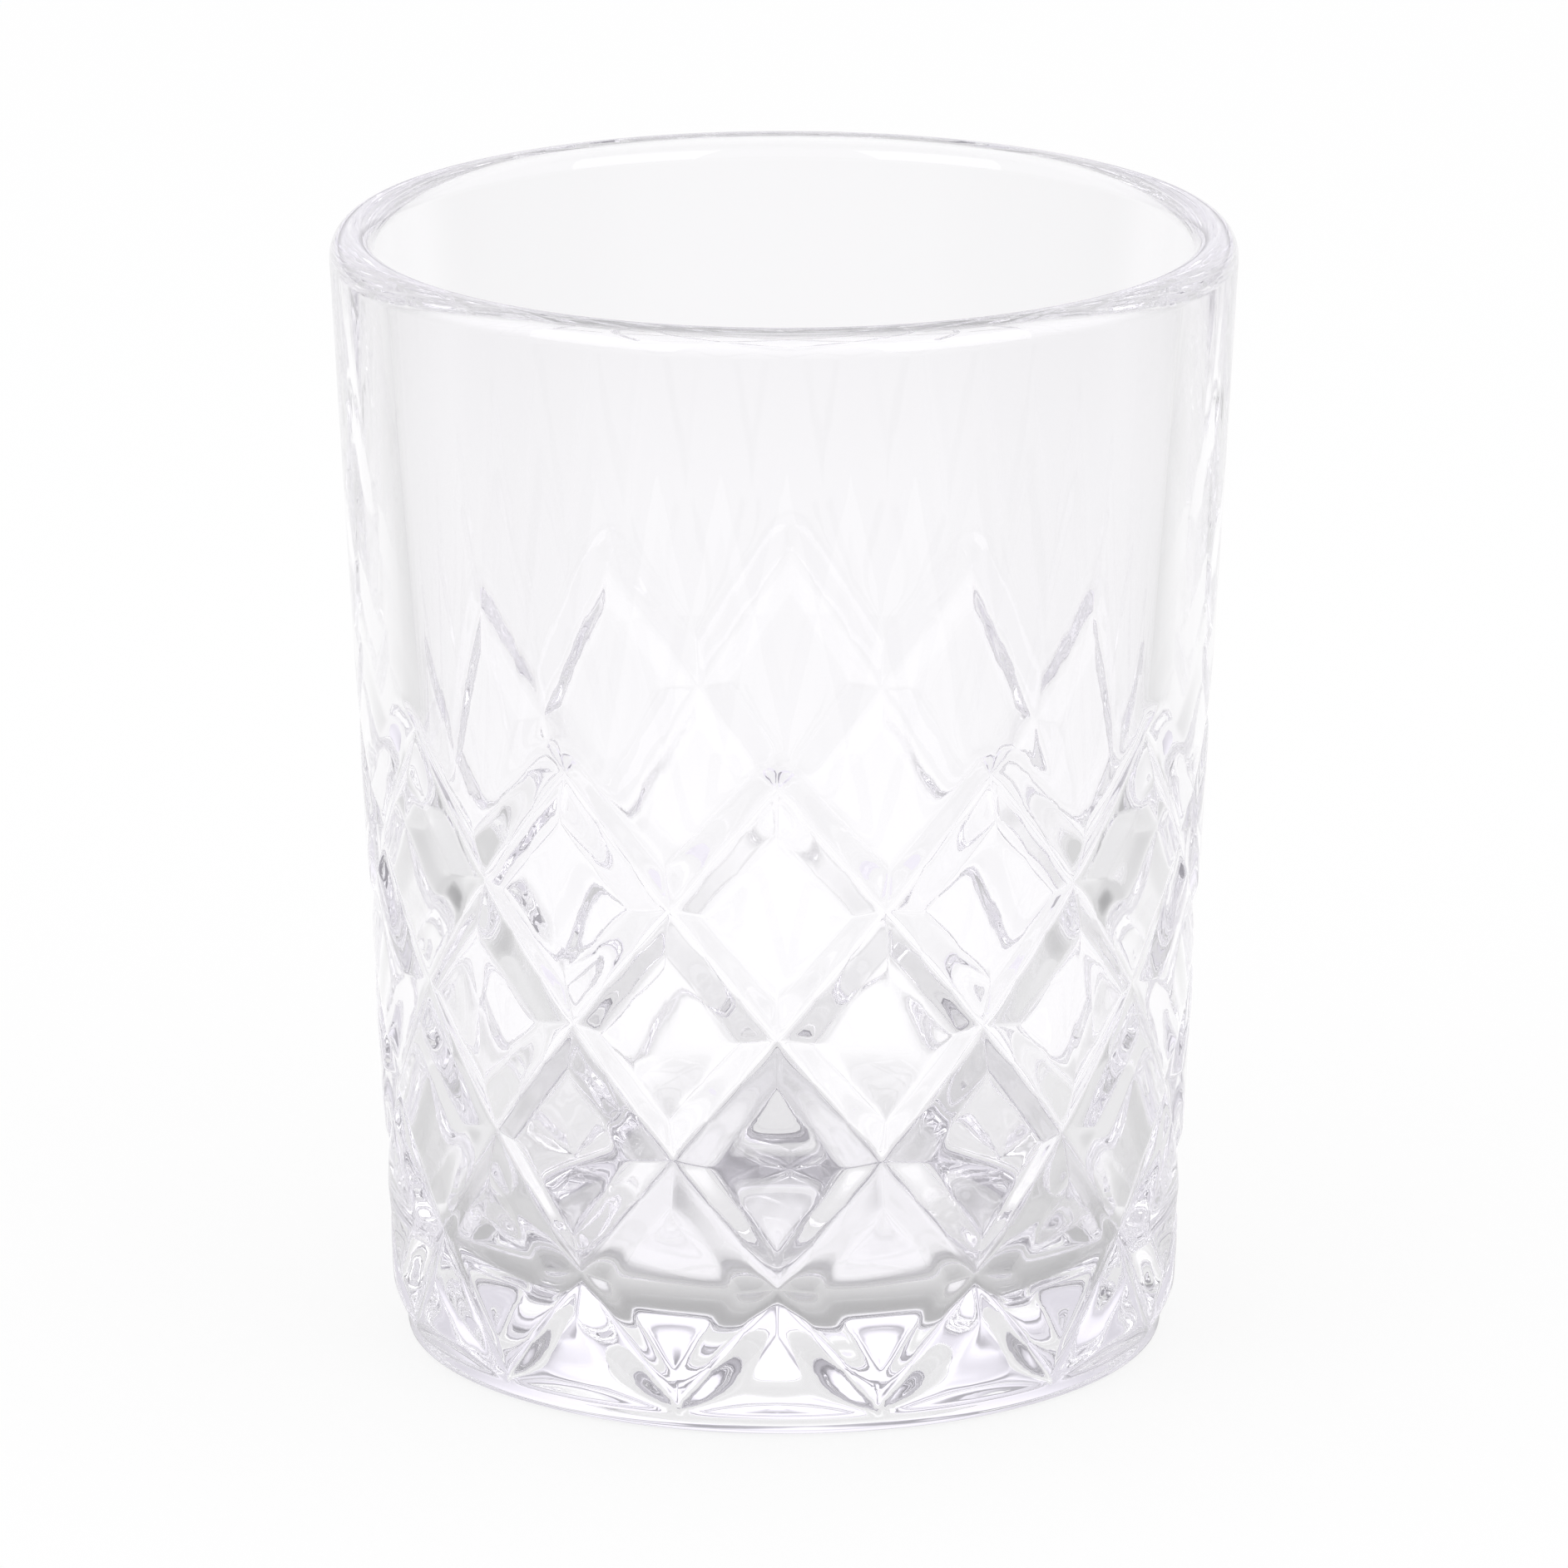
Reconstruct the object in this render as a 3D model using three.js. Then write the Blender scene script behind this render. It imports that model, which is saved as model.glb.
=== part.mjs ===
// Rocks glass: one piece of clear pressed glass. A tapered tumbler with a thick base and
// a full-round rim. Crossed V grooves on the lower wall leave a band of raised diamonds.
// Millimetres, +Z up, origin at the centre of the foot on the table.
import * as THREE from 'three';

// Body
const height = 100.6;
const rimDiameter = 80;
const footDiameter = 69.8;
const rimWall = 4;
const rimCrown = 2.4;
const floorWall = 7;
const floorThickness = 8.4;
const floorCornerRadius = 8;

// Foot: the heel curves in to a flat standing ring round a shallow hollow
const heelInset = 1.6;
const hollowDiameter = 52;
const hollowDepth = 0.8;

// Diamond band: grooves climb both ways from the first row of crossings, at the top of the heel
const diamondsAround = 12;
const rowSteps = 5;
const firstRowHeight = 2.1;
const rowPitch = 11.5;
const grooveWidth = 5;
const grooveDepth = 1.2;

// Fineness of the round outlines
const arcDivisions = 4;

const rimRadius = rimDiameter / 2;
const rimStart = height - rimCrown;
const footRadius = footDiameter / 2;
const lastRowHeight = firstRowHeight + rowSteps * rowPitch;

// Outer radius of the plain tapered wall at a height above the table
function wallRadius(z) {
  return footRadius + (rimRadius - footRadius) * (z / rimStart);
}

// A groove climbs one row pitch while it turns through half the angle of a diamond.
// Each row, and each half diamond, is divided at the groove's middle and at its two edges,
// so that every groove runs from corner to corner of the facets.
const halfDiamondAngle = Math.PI / diamondsAround;
const middleRadius = wallRadius((firstRowHeight + lastRowHeight) / 2);
const climb = Math.atan2(rowPitch, middleRadius * halfDiamondAngle);
const edgeShare = grooveWidth / 2 / Math.cos(climb) / rowPitch;
const stepShares = [0, edgeShare, 1 - edgeShare];
const stepsPerRow = stepShares.length;
const columns = 2 * diamondsAround * stepsPerRow;
const bandRings = rowSteps * stepsPerRow + 2;

// Where a count of facet steps ends, in whole rows or half diamonds
function stepPlace(step) {
  return Math.floor(step / stepsPerRow) + stepShares[step % stepsPerRow];
}

// Underside and heel, from the middle of the hollow out to just below the first row
function footOutline() {
  const hollowRadius = hollowDiameter / 2;
  const heelMiddle = firstRowHeight / 2;
  const outline = new THREE.Path();
  outline.moveTo(0, hollowDepth);
  outline.quadraticCurveTo(hollowRadius / 2, hollowDepth, hollowRadius, 0);
  outline.lineTo(footRadius - heelInset, 0);
  outline.quadraticCurveTo(wallRadius(heelMiddle), heelMiddle, wallRadius(firstRowHeight), firstRowHeight);
  return outline.getPoints(arcDivisions).slice(0, -1);
}

// Rings of the diamond band on the plain wall, up to the tips of the zigzag above the last row
function bandOutline() {
  const points = [];
  for (let ring = 0; ring < bandRings; ring += 1) {
    const z = firstRowHeight + rowPitch * stepPlace(ring);
    points.push(new THREE.Vector2(wallRadius(z), z));
  }
  return points;
}

// Rim and inside, from the top of the outer wall to the middle of the floor
function cupOutline() {
  const innerTop = rimRadius - rimWall;
  const innerFloor = wallRadius(floorThickness) - floorWall;
  const innerLean = Math.atan2(innerTop - innerFloor, rimStart - floorThickness);
  const cornerX = innerFloor + floorCornerRadius * (Math.tan(innerLean) - 1 / Math.cos(innerLean));
  const cornerZ = floorThickness + floorCornerRadius;
  const outline = new THREE.Path();
  outline.absellipse(rimRadius - rimWall / 2, rimStart, rimWall / 2, rimCrown, 0, Math.PI);
  outline.absarc(cornerX, cornerZ, floorCornerRadius, -innerLean, -Math.PI / 2, true);
  outline.lineTo(0, floorThickness);
  return outline.getPoints(arcDivisions);
}

// Steps from a place in the band to the nearest groove of each hand. 0 is the groove's middle.
// Crossings of the first row lie half a diamond to each side of the front.
function stepsFromGroove(column, ring, hand) {
  const cycle = 2 * stepsPerRow;
  const along = column - hand * ring - stepsPerRow;
  const offset = ((along % cycle) + cycle) % cycle;
  return Math.min(offset, cycle - offset);
}

// Moves each corner of a turned body to its column's angle, and sinks those on a groove's middle
function cutGrooves(geometry, ringCount, firstBandRing) {
  const position = geometry.attributes.position;
  for (let i = 0; i < position.count; i += 1) {
    const column = Math.floor(i / ringCount) % columns;
    const ring = (i % ringCount) - firstBandRing;
    const angle = stepPlace(column) * halfDiamondAngle;
    const inBand = ring >= 0 && ring < bandRings - 1;
    const toGroove = Math.min(stepsFromGroove(column, ring, 1), stepsFromGroove(column, ring, -1));
    const sink = inBand && toGroove === 0 ? grooveDepth : 0;
    const radius = Math.hypot(position.getX(i), position.getZ(i)) - sink;
    position.setXYZ(i, radius * Math.sin(angle), position.getY(i), radius * Math.cos(angle));
  }
}

// A facet quad is split to the upper right where a right-hand groove or its edge runs through it
function splitsRight(column, ring) {
  const right = stepsFromGroove(column, ring, 1);
  const left = stepsFromGroove(column + 1, ring, -1);
  return right === 0 || (right === 1 && left !== 0);
}

function facets(ringCount, firstBandRing) {
  const corners = [];
  for (let column = 0; column < columns; column += 1) {
    for (let ring = 0; ring < ringCount - 1; ring += 1) {
      const lowLeft = column * ringCount + ring;
      const lowRight = lowLeft + ringCount;
      const highLeft = lowLeft + 1;
      const highRight = lowRight + 1;
      if (splitsRight(column, ring - firstBandRing)) {
        corners.push(lowLeft, lowRight, highRight, lowLeft, highRight, highLeft);
      } else {
        corners.push(lowLeft, lowRight, highLeft, lowRight, highRight, highLeft);
      }
    }
  }
  return corners;
}

function tumblerGeometry() {
  const foot = footOutline();
  const outline = [...foot, ...bandOutline(), ...cupOutline()];
  const geometry = new THREE.LatheGeometry(outline, columns);
  cutGrooves(geometry, outline.length, foot.length);
  geometry.setIndex(facets(outline.length, foot.length));
  geometry.rotateX(Math.PI / 2);
  geometry.computeVertexNormals();
  return geometry;
}

const clearGlass = new THREE.MeshStandardMaterial({
  color: 0xe9ebee,
  roughness: 0.04,
  metalness: 0,
  transparent: true,
  opacity: 0.35,
});

const tumbler = new THREE.Mesh(tumblerGeometry(), clearGlass);
tumbler.name = 'tumbler';

const rocksGlass = new THREE.Group();
rocksGlass.add(tumbler);

export default rocksGlass;
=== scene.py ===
# %% [markdown]
# # A pressed-glass rocks glass
# This lesson dresses one CAD part, a short tumbler of clear glass. The tumbler is one piece: a
# tapered cup with a round rim, a thick base and a band of raised diamonds. Clear glass has no colour
# to paint, so almost all of its look comes from three things: the exact shape of its surface, the
# bending of light inside it, and what stands around it to be seen through it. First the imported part
# is loaded and its box is kept, because the finer skin made here has to fit inside that box.

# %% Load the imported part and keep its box
import math

import bpy
import numpy as np
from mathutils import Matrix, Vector


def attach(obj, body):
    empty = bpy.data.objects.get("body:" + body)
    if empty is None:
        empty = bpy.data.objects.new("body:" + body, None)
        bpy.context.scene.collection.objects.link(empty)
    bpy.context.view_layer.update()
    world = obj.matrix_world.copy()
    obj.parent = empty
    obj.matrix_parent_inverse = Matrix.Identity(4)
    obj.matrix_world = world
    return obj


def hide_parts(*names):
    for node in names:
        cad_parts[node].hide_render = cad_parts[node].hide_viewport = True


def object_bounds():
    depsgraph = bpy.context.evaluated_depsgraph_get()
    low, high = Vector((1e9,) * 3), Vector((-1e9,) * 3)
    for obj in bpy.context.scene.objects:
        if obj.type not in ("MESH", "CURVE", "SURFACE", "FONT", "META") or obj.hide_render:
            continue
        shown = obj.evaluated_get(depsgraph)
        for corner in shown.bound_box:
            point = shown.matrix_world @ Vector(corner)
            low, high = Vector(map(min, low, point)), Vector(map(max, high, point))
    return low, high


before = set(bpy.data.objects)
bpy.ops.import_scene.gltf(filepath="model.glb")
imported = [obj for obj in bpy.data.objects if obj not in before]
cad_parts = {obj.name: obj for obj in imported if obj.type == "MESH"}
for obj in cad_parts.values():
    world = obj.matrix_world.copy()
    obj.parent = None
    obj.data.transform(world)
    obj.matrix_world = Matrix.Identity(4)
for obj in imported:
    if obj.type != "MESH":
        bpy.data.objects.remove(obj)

MM = 0.001
cad_low, cad_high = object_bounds()
height = cad_high.z
rim_radius = cad_high.x
print(f"CAD box: {2 * rim_radius / MM:.1f} mm across, {height / MM:.1f} mm tall")

# %% [markdown]
# ## The camera
# A small glass is best shot from far away with a long lens, so that its rim and its foot are seen at
# nearly the same slant. A wide lens close by would make the foot look small. This camera stands more
# than a metre away, looks down by about sixteen degrees, and is one degree to the right of a column
# of diamonds. The helpers that place it by two angles will also place the lamps.

# %% Place the camera
CAMERA_DISTANCE = 1.12
CAMERA_AZIMUTH = 0.96
CAMERA_ELEVATION = 15.67
CAMERA_LENS = 288.9
CAMERA_SENSOR = 36.0
AIM_DROP = 0.6 * MM


def direction(azimuth, elevation):
    """Unit vector away from the glass, from two angles in degrees. Azimuth 0 is the front."""
    turn, rise = math.radians(azimuth), math.radians(elevation)
    return Vector((
        math.sin(turn) * math.cos(rise),
        -math.cos(turn) * math.cos(rise),
        math.sin(rise),
    ))


def look_back(thing, target, outward, distance):
    """Stands a camera or lamp at a distance from a target, and turns it to the target."""
    thing.location = target + outward * distance
    thing.rotation_euler = (-outward).to_track_quat("-Z", "Y").to_euler()
    bpy.context.scene.collection.objects.link(thing)


camera_data = bpy.data.cameras.new("camera")
camera_data.lens = CAMERA_LENS
camera_data.sensor_width = CAMERA_SENSOR
camera = bpy.data.objects.new("camera", camera_data)
aim = Vector((0, 0, height / 2 - AIM_DROP))
look_back(camera, aim, direction(CAMERA_AZIMUTH, CAMERA_ELEVATION), CAMERA_DISTANCE)
bpy.context.scene.camera = camera
print(f"camera at {[round(x, 3) for x in camera.location]} m with a {CAMERA_LENS} mm lens")

# %% [markdown]
# ## The sizes of the glass
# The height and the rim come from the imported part, and most other sizes repeat the part's own: the
# wall and base, the hollow under the foot, and the rows and grooves of the diamonds. The heel is
# drawn more finely here. The panels of the real glass end in a low soft step, with a smooth heel
# below it, and the plain solid has only a curved heel. All of these could be measured from the
# solid's mesh, but named numbers are easier to read and to try out.

# %% Name the sizes
RIM_WALL = 4.0 * MM
RIM_CROWN = 2.4 * MM
FLOOR_WALL = 7.0 * MM
FLOOR_THICKNESS = 8.4 * MM
FLOOR_CORNER = 8.0 * MM
FOOT_RADIUS = 34.9 * MM
HEEL_INSET = 1.5 * MM
HEEL_HEIGHT = 1.8 * MM
STEP_LOW = 1.3 * MM
STEP_HIGH = 3.4 * MM
HOLLOW_RADIUS = 26.0 * MM
HOLLOW_DEPTH = 0.8 * MM
DIAMONDS_AROUND = 12
ROW_STEPS = 5
FIRST_ROW = 2.1 * MM
ROW_PITCH = 11.5 * MM
GROOVE_WIDTH = 5.0 * MM
GROOVE_DEPTH = 1.2 * MM

rim_start = height - RIM_CROWN
half_diamond = math.pi / DIAMONDS_AROUND


def wall_radius(z):
    """Outer radius of the plain tapered wall at a height above the table."""
    return FOOT_RADIUS + (rim_radius - FOOT_RADIUS) * z / rim_start


band_middle = FIRST_ROW + ROW_STEPS * ROW_PITCH / 2
climb = math.atan2(ROW_PITCH, wall_radius(band_middle) * half_diamond)
edge_share = GROOVE_WIDTH / 2 / math.cos(climb) / ROW_PITCH
print(f"grooves climb at {math.degrees(climb):.1f} degrees, edges at {edge_share:.3f} of a row")

# %% [markdown]
# ## Where the mesh lines run
# A V groove on a curved wall could be cut with a Boolean, but that leaves thin triangles, and in clear
# glass every uneven triangle shows as a ripple. Instead the mesh lines are laid so that the grooves
# run exactly from corner to corner of the cells: a groove climbs one row while it turns through half
# a diamond, so rows and half diamonds are divided alike. The divisions crowd together at the middle
# of a groove and at its edges, where the surface turns.

# %% Divide a row and a half diamond
GROOVE_STEPS = 7
PANEL_STEPS = 8


def eased(count):
    """Shares from 0 up to 1, which crowd together at both ends."""
    return (1 - np.cos(np.pi * np.arange(count) / count)) / 2


def step_shares():
    panel_share = 1 - 2 * edge_share
    rising = edge_share * eased(GROOVE_STEPS)
    across = edge_share + panel_share * eased(PANEL_STEPS)
    falling = 1 - edge_share + edge_share * eased(GROOVE_STEPS)
    return np.concatenate([rising, across, falling])


shares = step_shares()
column_places = np.concatenate([half + shares for half in range(2 * DIAMONDS_AROUND)])
band_places = np.concatenate([row + shares for row in range(ROW_STEPS)])
top_places = ROW_STEPS + shares[: GROOVE_STEPS + PANEL_STEPS // 2]
print(f"{len(column_places)} columns, {len(band_places) + len(top_places)} rows of corners in the band")

# %% [markdown]
# ## How far it is to a groove
# The mould leaves two families of grooves on the glass, which climb to the right and to the left. A
# groove could be stored as a curve, but its line is so regular that the distance to it is a short
# formula. Past the first and the last row a groove ends, so there the distance is taken to the
# crossing itself, which rounds off the tips of the zigzag.

# %% Measure the distance to a groove
def groove_share(turn, row, radius, hand):
    """Distance to the nearest groove of one hand, where 1 is the groove's edge."""
    around = hand * turn - row
    # The grooves start at the odd half diamonds, because a panel faces the front
    nearest = 2 * np.round((around - 1) / 2) + 1
    end_row = np.where(row > ROW_STEPS / 2, ROW_STEPS, 0)
    step_around = radius * half_diamond
    to_end_x = (around - nearest + row - end_row) * step_around
    to_end_y = (row - end_row) * ROW_PITCH
    length = np.hypot(step_around, ROW_PITCH)
    along = (to_end_x * step_around + to_end_y * ROW_PITCH) / length
    beyond = np.where(end_row > 0, along > 0, along < 0)
    beside = np.abs(to_end_x * ROW_PITCH - to_end_y * step_around) / length
    distance = np.where(beyond, np.hypot(to_end_x, to_end_y), beside)
    half_width = edge_share * ROW_PITCH * step_around / length
    return distance / half_width


between = groove_share(0.0, 0.0, wall_radius(FIRST_ROW), 1)
print(f"between two crossings of the first row it is {between:.2f} half widths to a groove")

# %% [markdown]
# ## How deep the grooves are
# Each groove is a V whose two faces meet in a narrow round bottom, and its edges are softened by the
# flame that polishes the glass. A bevel could round a sharp V, but a formula with a little softness
# in it stays smooth at any fineness of the mesh. Near the table the panels sink as well, which makes
# the step that ends them. Where two grooves cross, the deeper of the two wins, almost sharply.

# %% Turn distance into depth
VALLEY_SOFTNESS = 0.10
EDGE_SOFTNESS = 0.15
STEP_SOFTNESS = 0.1
CROSSING_SHARPNESS = 10


def v_profile(share):
    """Depth of a groove, from about 0 on the panels to about 1 at the bottom."""
    inside = 1 - np.sqrt(share**2 + VALLEY_SOFTNESS**2)
    return (inside + np.sqrt(inside**2 + EDGE_SOFTNESS**2)) / 2


def above_step(share, row):
    """Brings the panels down to the depth of the grooves, a few millimetres above the table."""
    z = FIRST_ROW + row * ROW_PITCH
    step_share = np.clip((z - STEP_LOW) / (STEP_HIGH - STEP_LOW), STEP_SOFTNESS, None)
    return share * step_share / np.hypot(share, step_share)


def pattern_depth(turn, row, radius):
    right = v_profile(above_step(groove_share(turn, row, radius, 1), row))
    left = v_profile(above_step(groove_share(turn, row, radius, -1), row))
    both = (right**CROSSING_SHARPNESS + left**CROSSING_SHARPNESS) ** (1 / CROSSING_SHARPNESS)
    return GROOVE_DEPTH * both


print(f"depth at a crossing {pattern_depth(0.0, 1.0, wall_radius(0.0)) / MM:.2f} mm")

# %% [markdown]
# ## The underside and the heel
# A tumbler stands on a flat ring round a shallow hollow, so that it doesn't rock, and its heel is
# round, so that it doesn't chip. A Screw modifier could turn such outlines from a curve, but plain
# arrays of radius and height join onto the patterned wall without a seam.

# %% Draw the underside and the heel
HOLLOW_RINGS = 6
HEEL_RINGS = 10


def heel_inset(z):
    """How far the heel has curved in at a height above the table."""
    share = np.clip(1 - z / HEEL_HEIGHT, 0, 1)
    return HEEL_INSET * (1 - np.sqrt(1 - share**2))


def underside_profile():
    """Radius and height of each ring, from the middle of the hollow to the standing ring."""
    share = np.linspace(0, 1, HOLLOW_RINGS + 1)
    return np.column_stack([HOLLOW_RADIUS * share, HOLLOW_DEPTH * (1 - share**2)])


print(f"hollow of {2 * HOLLOW_RADIUS / MM:.0f} mm, heel curved in by {heel_inset(0.0) / MM:.1f} mm")

# %% [markdown]
# ## The rings of the band
# The rings of the patterned wall lie on the rows of the lattice. The step above the heel is only two
# millimetres tall, so the lowest cells are split into more rings. The points of such an extra ring
# aren't corners of the lattice, and the bottom of a V that runs past them would get teeth. So they
# lean sideways with the nearest groove, which keeps its bottom on a line of points. Dividing every
# cell alike would work too, but with several times as many triangles.

# %% Lay out the rings of the band
STEP_CELLS = 5
STEP_SPLITS = 3
LEAN_SHARPNESS = 2


def band_rows():
    """Row of every ring of the band, the row of corners under it, and how far it is past that."""
    corners = np.concatenate([band_places, top_places])
    splits = np.where(np.arange(len(corners)) < STEP_CELLS, STEP_SPLITS, 1)
    past = np.concatenate([np.arange(count) / count for count in splits])
    under = np.repeat(corners, splits)
    above = np.repeat(np.append(corners[1:], corners[-1]), splits)
    return under + past * (above - under), under, past


def leaning_turns(under, past):
    """Places round the glass of the points of each ring, which lean with the nearest groove."""
    radius = wall_radius(FIRST_ROW + under * ROW_PITCH)[:, None]
    right = groove_share(column_places[None, :], under[:, None], radius, 1)
    left = groove_share(column_places[None, :], under[:, None], radius, -1)
    hand = np.clip(LEAN_SHARPNESS * (left - right), -1, 1)
    to_right = np.diff(np.append(column_places, 2 * DIAMONDS_AROUND))
    step = np.where(hand > 0, to_right, np.roll(to_right, 1))
    return column_places[None, :] + past[:, None] * hand * step


print(f"{len(band_rows()[0])} rings in the band, {STEP_CELLS * STEP_SPLITS} of them by the step")

# %% [markdown]
# ## The rim and the inside
# The rim is melted round in a flame, so its section is half an ellipse. The inside is smooth, because
# a plain plunger presses it: it tapers straight down and turns into the flat floor through a large
# round corner. These are turned outlines as well, in the same order as the rest of the skin.

# %% Draw the rim and the inside
RIM_RINGS = 20
CORNER_RINGS = 14


def rim_profile():
    turn = np.linspace(0, np.pi, RIM_RINGS + 1)
    radius = rim_radius - RIM_WALL / 2 + RIM_WALL / 2 * np.cos(turn)
    z = rim_start + RIM_CROWN * np.sin(turn)
    return np.column_stack([radius, z])


def floor_profile():
    inner_top = rim_radius - RIM_WALL
    inner_floor = wall_radius(FLOOR_THICKNESS) - FLOOR_WALL
    lean = math.atan2(inner_top - inner_floor, rim_start - FLOOR_THICKNESS)
    centre = inner_floor + FLOOR_CORNER * (math.tan(lean) - 1 / math.cos(lean))
    turn = np.linspace(-lean, -np.pi / 2, CORNER_RINGS + 1)
    corner = np.column_stack([
        centre + FLOOR_CORNER * np.cos(turn),
        FLOOR_THICKNESS + FLOOR_CORNER + FLOOR_CORNER * np.sin(turn),
    ])
    flat = np.column_stack([centre * np.array([0.5, 0.0]), np.full(2, FLOOR_THICKNESS)])
    return np.concatenate([corner, flat])


print(f"{len(rim_profile())} rings in the rim, {len(floor_profile())} in the corner and floor")

# %% [markdown]
# ## One closed skin
# Light bends properly only in a mesh that is closed, with one outside and no faces within. So the
# whole surface is one skin of rings stacked round the axis: from the middle of the underside, out
# over the heel, up the outside, over the rim, and down the inside to the middle of the floor. Only
# the rings of the wall carry the pattern. Where the heel and the pattern overlap, a smooth maximum
# of their depths is taken, which leaves no crease.

# %% Stack the rings
HEEL_BLEND = 4


def turned(profile):
    """Radius, height and turn of the points of plain rings."""
    columns = len(column_places)
    rings = np.repeat(profile[:, None, :], columns, axis=1)
    turn = np.broadcast_to(column_places[None, :, None], (len(profile), columns, 1))
    return np.concatenate([rings, turn], axis=2)


def wall_rings():
    """The same for the rings of the heel and the band, with the pattern sunk into them."""
    rows, under, past = band_rows()
    # The squares crowd the rings of the heel together near the table, where it turns most
    heel_z = FIRST_ROW * (np.arange(HEEL_RINGS) / HEEL_RINGS) ** 2
    z = np.concatenate([heel_z, FIRST_ROW + rows * ROW_PITCH])[:, None]
    heel_turns = np.repeat(column_places[None, :], HEEL_RINGS, axis=0)
    turns = np.concatenate([heel_turns, leaning_turns(under, past)])
    plain = wall_radius(z)
    depth = pattern_depth(turns, (z - FIRST_ROW) / ROW_PITCH, plain)
    sunk = (depth**HEEL_BLEND + heel_inset(z) ** HEEL_BLEND) ** (1 / HEEL_BLEND)
    return np.stack([plain - sunk, np.broadcast_to(z, sunk.shape), turns], axis=2)


points = np.concatenate([
    turned(underside_profile()), wall_rings(), turned(rim_profile()), turned(floor_profile()),
])
print(f"{points.shape[0]} rings of {points.shape[1]} points")

# %% [markdown]
# ## Joining the rings
# Each cell between two rings is split into two triangles. In the band the split has to follow the
# groove that runs through the cell, or the bottom of the V would turn into a row of teeth. Blender
# can split four-sided cells by itself, but it doesn't know which way the grooves run.

# %% Split the cells into triangles
def cell_splits(ring_count, columns):
    """True where a cell is split to the upper right, as the right-hand grooves run."""
    split = np.zeros((ring_count, columns), bool)
    first = HOLLOW_RINGS + 1 + HEEL_RINGS
    places = band_rows()[0]
    last = first + len(places) - 1
    middle_row = (places[:-1] + places[1:]) / 2
    steps = np.append(column_places, 2 * DIAMONDS_AROUND)
    middle_turn = (steps[:-1] + steps[1:]) / 2
    radius = wall_radius(FIRST_ROW + middle_row * ROW_PITCH)[:, None]
    right = groove_share(middle_turn[None, :], middle_row[:, None], radius, 1)
    left = groove_share(middle_turn[None, :], middle_row[:, None], radius, -1)
    split[first:last] = right < left
    return split


def skin_triangles(ring_count, columns):
    ring = np.arange(ring_count - 1)[:, None] * columns
    column = np.arange(columns)[None, :]
    following = (column + 1) % columns
    low_left = ring + column
    low_right = ring + following
    high_left = low_left + columns
    high_right = low_right + columns
    right = cell_splits(ring_count - 1, columns)
    first = np.stack([low_left, low_right, np.where(right, high_right, high_left)], axis=2)
    second = np.stack([np.where(right, low_left, low_right), high_right, high_left], axis=2)
    return np.concatenate([first.reshape(-1, 3), second.reshape(-1, 3)])


triangles = skin_triangles(*points.shape[:2])
print(f"{len(triangles)} triangles before the two middles are closed")

# %% [markdown]
# ## The tumbler
# The first ring lies in the middle of the hollow and the last in the middle of the floor, so each is
# drawn together to one point and the triangles that vanish are dropped. The mesh is then shaded
# smooth. It rides on the part's one body, and stands for the plain solid in every picture.

# %% Build the tumbler
def skin_mesh(name):
    ring_count, columns, _ = points.shape
    angles = points[..., 2] * half_diamond
    x = points[..., 0] * np.sin(angles)
    y = -points[..., 0] * np.cos(angles)
    corners = np.stack([x, y, points[..., 1]], axis=2).reshape(-1, 3)
    last = (ring_count - 1) * columns
    closed = np.where(triangles < columns, 0, triangles)
    closed = np.where(closed >= last, last, closed)
    a, b, c = closed.T
    closed = closed[(a != b) & (b != c) & (c != a)]
    used, renumbered = np.unique(closed, return_inverse=True)
    mesh = bpy.data.meshes.new(name)
    mesh.from_pydata(corners[used].tolist(), [], renumbered.reshape(-1, 3).tolist())
    mesh.validate()
    mesh.shade_smooth()
    return mesh


tumbler = bpy.data.objects.new("tumbler_glass", skin_mesh("tumbler_glass"))
bpy.context.scene.collection.objects.link(tumbler)
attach(tumbler, "root")
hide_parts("tumbler")
print(f"{len(tumbler.data.polygons)} triangles in the tumbler")

# %% [markdown]
# ## Shader sums as Python
# Node trees are easier to read as sums than as boxes and wires. This small class holds one socket of
# a tree: arithmetic on it adds Math nodes, and its node method adds any other node. The nodes could
# also be placed one by one in the editor, but a sum on one line shows what it does.

# %% A socket that does sums
class Wire:
    """A socket of a node tree. The bare tree, with no socket, starts a chain."""

    def __init__(self, tree, socket=None):
        self.tree = tree
        self.socket = socket

    def node(self, kind, settings=None, inputs=None, output=0):
        made = self.tree.nodes.new(kind)
        for name, value in (settings or {}).items():
            setattr(made, name, value)
        for name, value in (inputs or {}).items():
            if isinstance(value, Wire):
                self.tree.links.new(value.socket, made.inputs[name])
            else:
                made.inputs[name].default_value = value
        return Wire(self.tree, made.outputs[output] if made.outputs else None)

    def maths(self, operation, first, second):
        return self.node("ShaderNodeMath", {"operation": operation}, {0: first, 1: second})

    def __add__(self, other):
        return self.maths("ADD", self, other)

    def __radd__(self, other):
        return self.maths("ADD", other, self)

    def __sub__(self, other):
        return self.maths("SUBTRACT", self, other)

    def __rsub__(self, other):
        return self.maths("SUBTRACT", other, self)

    def __mul__(self, other):
        return self.maths("MULTIPLY", self, other)

    def __rmul__(self, other):
        return self.maths("MULTIPLY", other, self)

    def __truediv__(self, other):
        return self.maths("DIVIDE", self, other)

    def __rtruediv__(self, other):
        return self.maths("DIVIDE", other, self)

    def __abs__(self):
        return self.node("ShaderNodeMath", {"operation": "ABSOLUTE"}, {0: self})


def clean_tree(owner):
    owner.use_nodes = True
    owner.node_tree.nodes.clear()
    return Wire(owner.node_tree)


print("shader sums ready")

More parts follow.
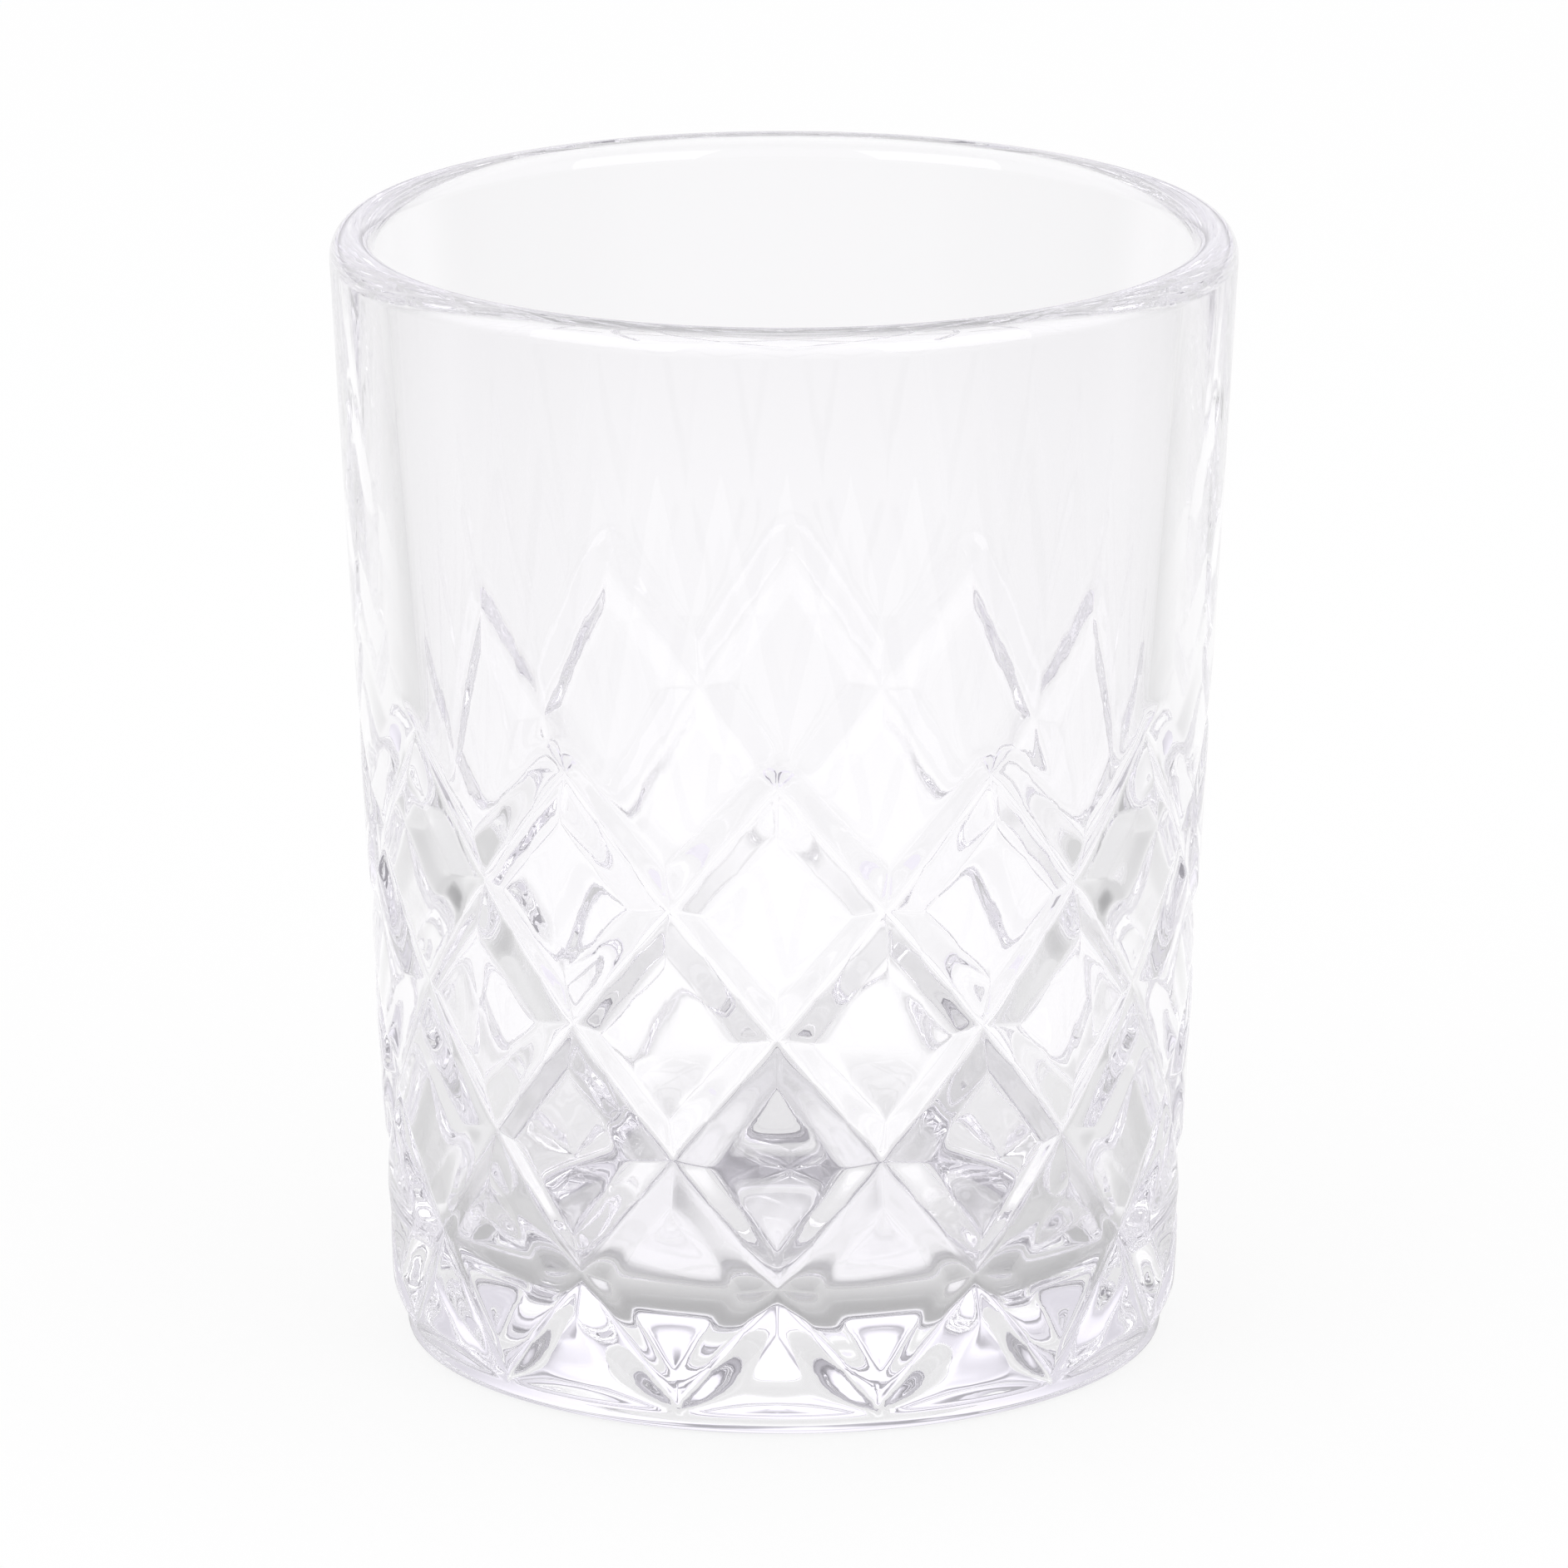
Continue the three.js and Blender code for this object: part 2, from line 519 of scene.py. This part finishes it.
# %% [markdown]
# ## Clear pressed glass
# Soda glass bends light with an index of about 1.52, and where it is thick it has a trace of
# lavender. It isn't perfectly even: the mould leaves very faint waves, which a weak Bump gives, and
# its polish varies a little from place to place, which noise on the Roughness gives. The Glass
# shader would look much the same, but the Principled shader keeps its finish in an exported model.

# %% Make the glass
GLASS_INDEX = 1.52
GLASS_TINT = (0.995, 0.99, 1.0, 1.0)
WAVE_SCALE = 80.0
WAVE_STRENGTH = 0.005
WAVE_HEIGHT = 1.0 * MM
POLISH_SCALE = 35.0
POLISH_DETAIL = 3.0
POLISH_ROUGHNESS = 0.01

glass = bpy.data.materials.new("clear_pressed_glass")
tree = clean_tree(glass)
place = tree.node("ShaderNodeTexCoord", output="Object")
waves = tree.node("ShaderNodeTexNoise", {}, {
    "Vector": place, "Scale": WAVE_SCALE, "Detail": 0.0,
}, "Fac")
normal = tree.node("ShaderNodeBump", {}, {
    "Strength": WAVE_STRENGTH, "Distance": WAVE_HEIGHT, "Height": waves,
})
polish = tree.node("ShaderNodeTexNoise", {}, {
    "Vector": place, "Scale": POLISH_SCALE, "Detail": POLISH_DETAIL,
}, "Fac")
surface = tree.node("ShaderNodeBsdfPrincipled", {}, {
    "Base Color": GLASS_TINT,
    "Roughness": polish * POLISH_ROUGHNESS,
    "IOR": GLASS_INDEX,
    "Transmission Weight": 1.0,
    "Normal": normal,
})
tree.node("ShaderNodeOutputMaterial", {}, {"Surface": surface})
tumbler.data.materials.append(glass)
print(f"glass with index {GLASS_INDEX}")

# %% [markdown]
# ## The floor
# The glass stands on a plain white sheet of paper. A sheet that curves up behind the glass could be
# modelled, but in front of a white world a large flat one looks the same. It lies a hair below the
# foot, so that two faces never share a plane.

# %% Lay the floor
FLOOR_SIZE = 6.0
FLOOR_DROP = 0.2 * MM

floor_mesh = bpy.data.meshes.new("floor")
half = FLOOR_SIZE / 2
floor_mesh.from_pydata(
    [(-half, -half, 0), (half, -half, 0), (half, half, 0), (-half, half, 0)], [], [(0, 1, 2, 3)]
)
floor = bpy.data.objects.new("floor", floor_mesh)
floor.location.z = -FLOOR_DROP
bpy.context.scene.collection.objects.link(floor)
print(f"floor {FLOOR_SIZE} m across")

# %% [markdown]
# ## The greys that the glass shows
# A glass on bare white paper in a white room almost disappears, so a studio keeps the paper white
# behind the glass and lets it fall off elsewhere. Each facet then shows another grey. Dark cards and
# lamps could do this, but smooth ramps over the floor are quicker to tune and add no noise. They
# need three measures of a place on the paper: its distance from the axis, and how far it lies to the
# side and behind, where 1 is straight that way.

# %% Measure places on the paper
def ramp(value, span, start=0.0, end=1.0):
    """Goes smoothly from start to end while the value crosses the span."""
    return value.node("ShaderNodeMapRange", {"interpolation_type": "SMOOTHSTEP"}, {
        "Value": value, "From Min": span[0], "From Max": span[1], "To Min": start, "To Max": end,
    })


def component(vector, axis):
    return vector.node("ShaderNodeSeparateXYZ", {}, {0: vector}, axis)


paper = bpy.data.materials.new("white_paper")
tree = clean_tree(paper)
place = tree.node("ShaderNodeTexCoord", output="Object")
radius = tree.node("ShaderNodeVectorMath", {"operation": "LENGTH"}, {0: place}, "Value")
aside = abs(component(place, "X")) / radius
behind = component(place, "Y") / radius
print("distance and direction on the paper measured")

# %% [markdown]
# ## The open paper
# Light falls off with distance, and most of it is aimed at the background. So the paper is white
# behind the glass, greyer at the sides, and dark far to the sides and the front. Round the foot it
# is a little shaded. A real falloff could come from lamps, but here the falloff and the shade round
# the foot are painted into the glow of the paper, and each part has its own number.
# A reach is a span of distance in metres, and a turn is a span of direction.

# %% Grade the open paper
CLOSE_BEHIND = 1.06
FAR_BEHIND = 0.97
BEHIND_REACH = (0.11, 0.2)
CLOSE_ASIDE = 0.8
FAR_ASIDE = 0.6
ASIDE_REACH = (0.13, 0.2)
ASIDE_TURN = (0.65, 0.95)
ROUND_FOOT = 0.8
FOOT_REACH = (0.05, 0.075)
FAR_GREY = 0.15
FAR_REACH = (0.3, 0.5)
FAR_TURN = (0.3, 0.7)

# Painted falloff in the paper's glow: bright behind the glass, greyer aside, dark far off, with painted
# shade round the foot
straight = ramp(radius, BEHIND_REACH, CLOSE_BEHIND, FAR_BEHIND)
sideways = ramp(radius, ASIDE_REACH, CLOSE_ASIDE, FAR_ASIDE)
sides = ramp(aside, ASIDE_TURN, straight, sideways)
painted_foot_shade = ramp(radius, FOOT_REACH, ROUND_FOOT, 1.0)
far = ramp(radius, FAR_REACH) * ramp(behind, FAR_TURN, 1.0 - FAR_GREY, 0.0)
painted_paper_falloff = sides * painted_foot_shade * (1.0 - far)
print(f"paper {FAR_BEHIND} far behind, {FAR_ASIDE * FAR_GREY:.2f} far to the side")

# %% [markdown]
# ## The paper under the base
# The thick base works like a lens that looks at the paper below it. Light comes down through the cup
# to the middle, and less of it gets to the ring round that, least of all towards the front. This is
# where the dark wavy line over the base comes from. Blender could trace that light through the glass
# as caustics, but those are slow and grainy, so the light in the middle and the shade of the ring are
# painted into the glow of the paper, graded in the same way as the open paper.

# %% Shade the paper under the base
PAINTED_LIGHT_UNDER_CUP = 1.08
CUP_REACH = (0.014, 0.019)
PAINTED_SHADE_FRONT = 0.52
PAINTED_SHADE_BACK = 0.86
RING_TURN = (-0.2, 0.3)
RING_REACH = (0.022, 0.036)

# Painted shadow under the base: a dark ring, darkest in front, round painted light under the cup
ring = ramp(behind, RING_TURN, PAINTED_SHADE_FRONT, PAINTED_SHADE_BACK)
under = PAINTED_LIGHT_UNDER_CUP + (ring - PAINTED_LIGHT_UNDER_CUP) * ramp(radius, CUP_REACH)
graded = under + (painted_paper_falloff - under) * ramp(radius, RING_REACH)
print(f"ring under the base from {PAINTED_SHADE_FRONT} in front to {PAINTED_SHADE_BACK} behind")

# %% [markdown]
# ## The paper
# What the camera sees of the paper is plain white, with a share of matte paper in it that keeps the
# soft shadow of the glass. Rays that come through the glass or off it find the graded glow instead,
# with its painted falloff, painted shade and painted light under the base.
# A Light Path node tells these rays apart. Strong lamps on the paper would whiten it as well, but
# they would also shine on the glass.

# %% Make the paper
SEEN_WHITE = 0.85
THROUGH_WHITE = 0.8
PAPER_GREY = (0.94, 0.94, 0.94, 1.0)


def ray_kind(tree, kind):
    """1 for one kind of ray, 0 for the others."""
    return tree.node("ShaderNodeLightPath", output=kind)


def limited(value):
    return value.node("ShaderNodeClamp", {}, {"Value": value})


# Glow of the paper: plain white to the camera, painted light and shade to rays through or off the glass
painted_glow = 1.0 + (graded - 1.0) * (1.0 - ray_kind(tree, "Is Camera Ray"))
matte = tree.node("ShaderNodeBsdfDiffuse", {}, {"Color": PAPER_GREY})
white = tree.node("ShaderNodeEmission", {}, {"Color": painted_glow, "Strength": 1.0})
direct = ray_kind(tree, "Is Camera Ray") * SEEN_WHITE
bent = limited(ray_kind(tree, "Is Glossy Ray") + ray_kind(tree, "Is Transmission Ray"))
paper_shader = tree.node("ShaderNodeMixShader", {}, {
    0: direct + bent * THROUGH_WHITE, 1: matte, 2: white,
})
tree.node("ShaderNodeOutputMaterial", {}, {"Surface": paper_shader})
floor_mesh.materials.append(paper)
print(f"white paper, {1 - SEEN_WHITE:.2f} of it matte to the camera")

# %% [markdown]
# ## The studio
# Glass shows the room more than itself. Behind the glass the paper turns up and a white backdrop
# hangs over it, with a dim gap between them. A grey horizon runs all round, and the ceiling is dim.
# These turn into the greys and the white lines of the facets. A photographed room could be wrapped
# round the scene, but a smooth function of direction has no detail that would show up in the glass.
# A rise is a span of height, where 1 is straight up. The camera and the paper find a white world.

# %% Light the room
ROOM = 0.8
ROOM_TINT = (0.945, 0.92, 1.0)
BACKDROP = 0.35
BACKDROP_TURN = (0.75, 0.9)
BACKDROP_RISE = (0.1, 0.2)
UPTURN = 1.25
UPTURN_RISE = (0.04, 0.06)
HORIZON = 0.5
HORIZON_RISE = (0.05, 0.18)
CEILING = 0.42
CEILING_RISE = (0.45, 0.85)
PLAIN_WHITE = (1.0, 1.0, 1.0, 1.0)

world = bpy.data.worlds.new("studio")
bpy.context.scene.world = world
tree = clean_tree(world)
looking = tree.node("ShaderNodeTexCoord", output="Generated")
away = component(looking, "Y")
up = component(looking, "Z")
straight_behind = ramp(away, BACKDROP_TURN)
backdrop = straight_behind * ramp(up, BACKDROP_RISE) * BACKDROP
upturn = straight_behind * ramp(up, UPTURN_RISE, 1.0, 0.0)
horizon = ramp(up, HORIZON_RISE, HORIZON, 1.0)
dimming = ramp(up, CEILING_RISE, 1.0, CEILING) * (horizon + (UPTURN - horizon) * upturn)
room = tree.node("ShaderNodeVectorMath", {"operation": "SCALE"}, {
    0: ROOM_TINT, "Scale": (ROOM + backdrop) * dimming,
})
studio = tree.node("ShaderNodeBackground", {}, {"Color": room, "Strength": 1.0})
white = tree.node("ShaderNodeBackground", {}, {"Color": PLAIN_WHITE, "Strength": 1.0})
plain = limited(ray_kind(tree, "Is Camera Ray") + ray_kind(tree, "Is Diffuse Ray"))
sky = tree.node("ShaderNodeMixShader", {}, {0: plain, 1: studio, 2: white})
tree.node("ShaderNodeOutputWorld", {}, {"Surface": sky})
print(f"room {ROOM}, backdrop {ROOM + BACKDROP}, ceiling {ROOM * CEILING:.2f}")

# %% [markdown]
# ## Two soft boxes
# A large soft box stands on each side of the camera, and gives the facets that face the viewer their
# soft gleams. Glowing planes could do the same, but an area lamp needs no mesh and gives less noise.
# Its power is worked out from how bright its face should look, where 1 is white.

# %% Hang the soft boxes
BOX_DISTANCE = 1.0
BOX_AZIMUTH = 45
BOX_ELEVATION = 25
BOX_WIDTH = 0.7
BOX_HEIGHT = 0.6
BOX_BRIGHTNESS = 1.15


def soft_box(name, azimuth):
    light = bpy.data.lights.new(name, "AREA")
    light.shape = "RECTANGLE"
    light.size = BOX_WIDTH
    light.size_y = BOX_HEIGHT
    light.energy = BOX_BRIGHTNESS * math.pi * BOX_WIDTH * BOX_HEIGHT
    box = bpy.data.objects.new(name, light)
    middle = Vector((0, 0, height / 2))
    look_back(box, middle, direction(azimuth, BOX_ELEVATION), BOX_DISTANCE)
    return box


soft_boxes = [soft_box("left_soft_box", -BOX_AZIMUTH), soft_box("right_soft_box", BOX_AZIMUTH)]
print("soft boxes:", [round(box.data.energy, 2) for box in soft_boxes], "W")

# %% [markdown]
# ## Bounces
# Between the facets light can bounce many times before it gets out. If Blender gives up too early,
# such places turn black, so the limits go far above their defaults. The Standard view keeps white
# white.

# %% Finish
LIGHT_BOUNCES = 128

scene = bpy.context.scene
scene.view_settings.view_transform = "Standard"
scene.cycles.max_bounces = LIGHT_BOUNCES
scene.cycles.transmission_bounces = LIGHT_BOUNCES
scene.cycles.glossy_bounces = LIGHT_BOUNCES
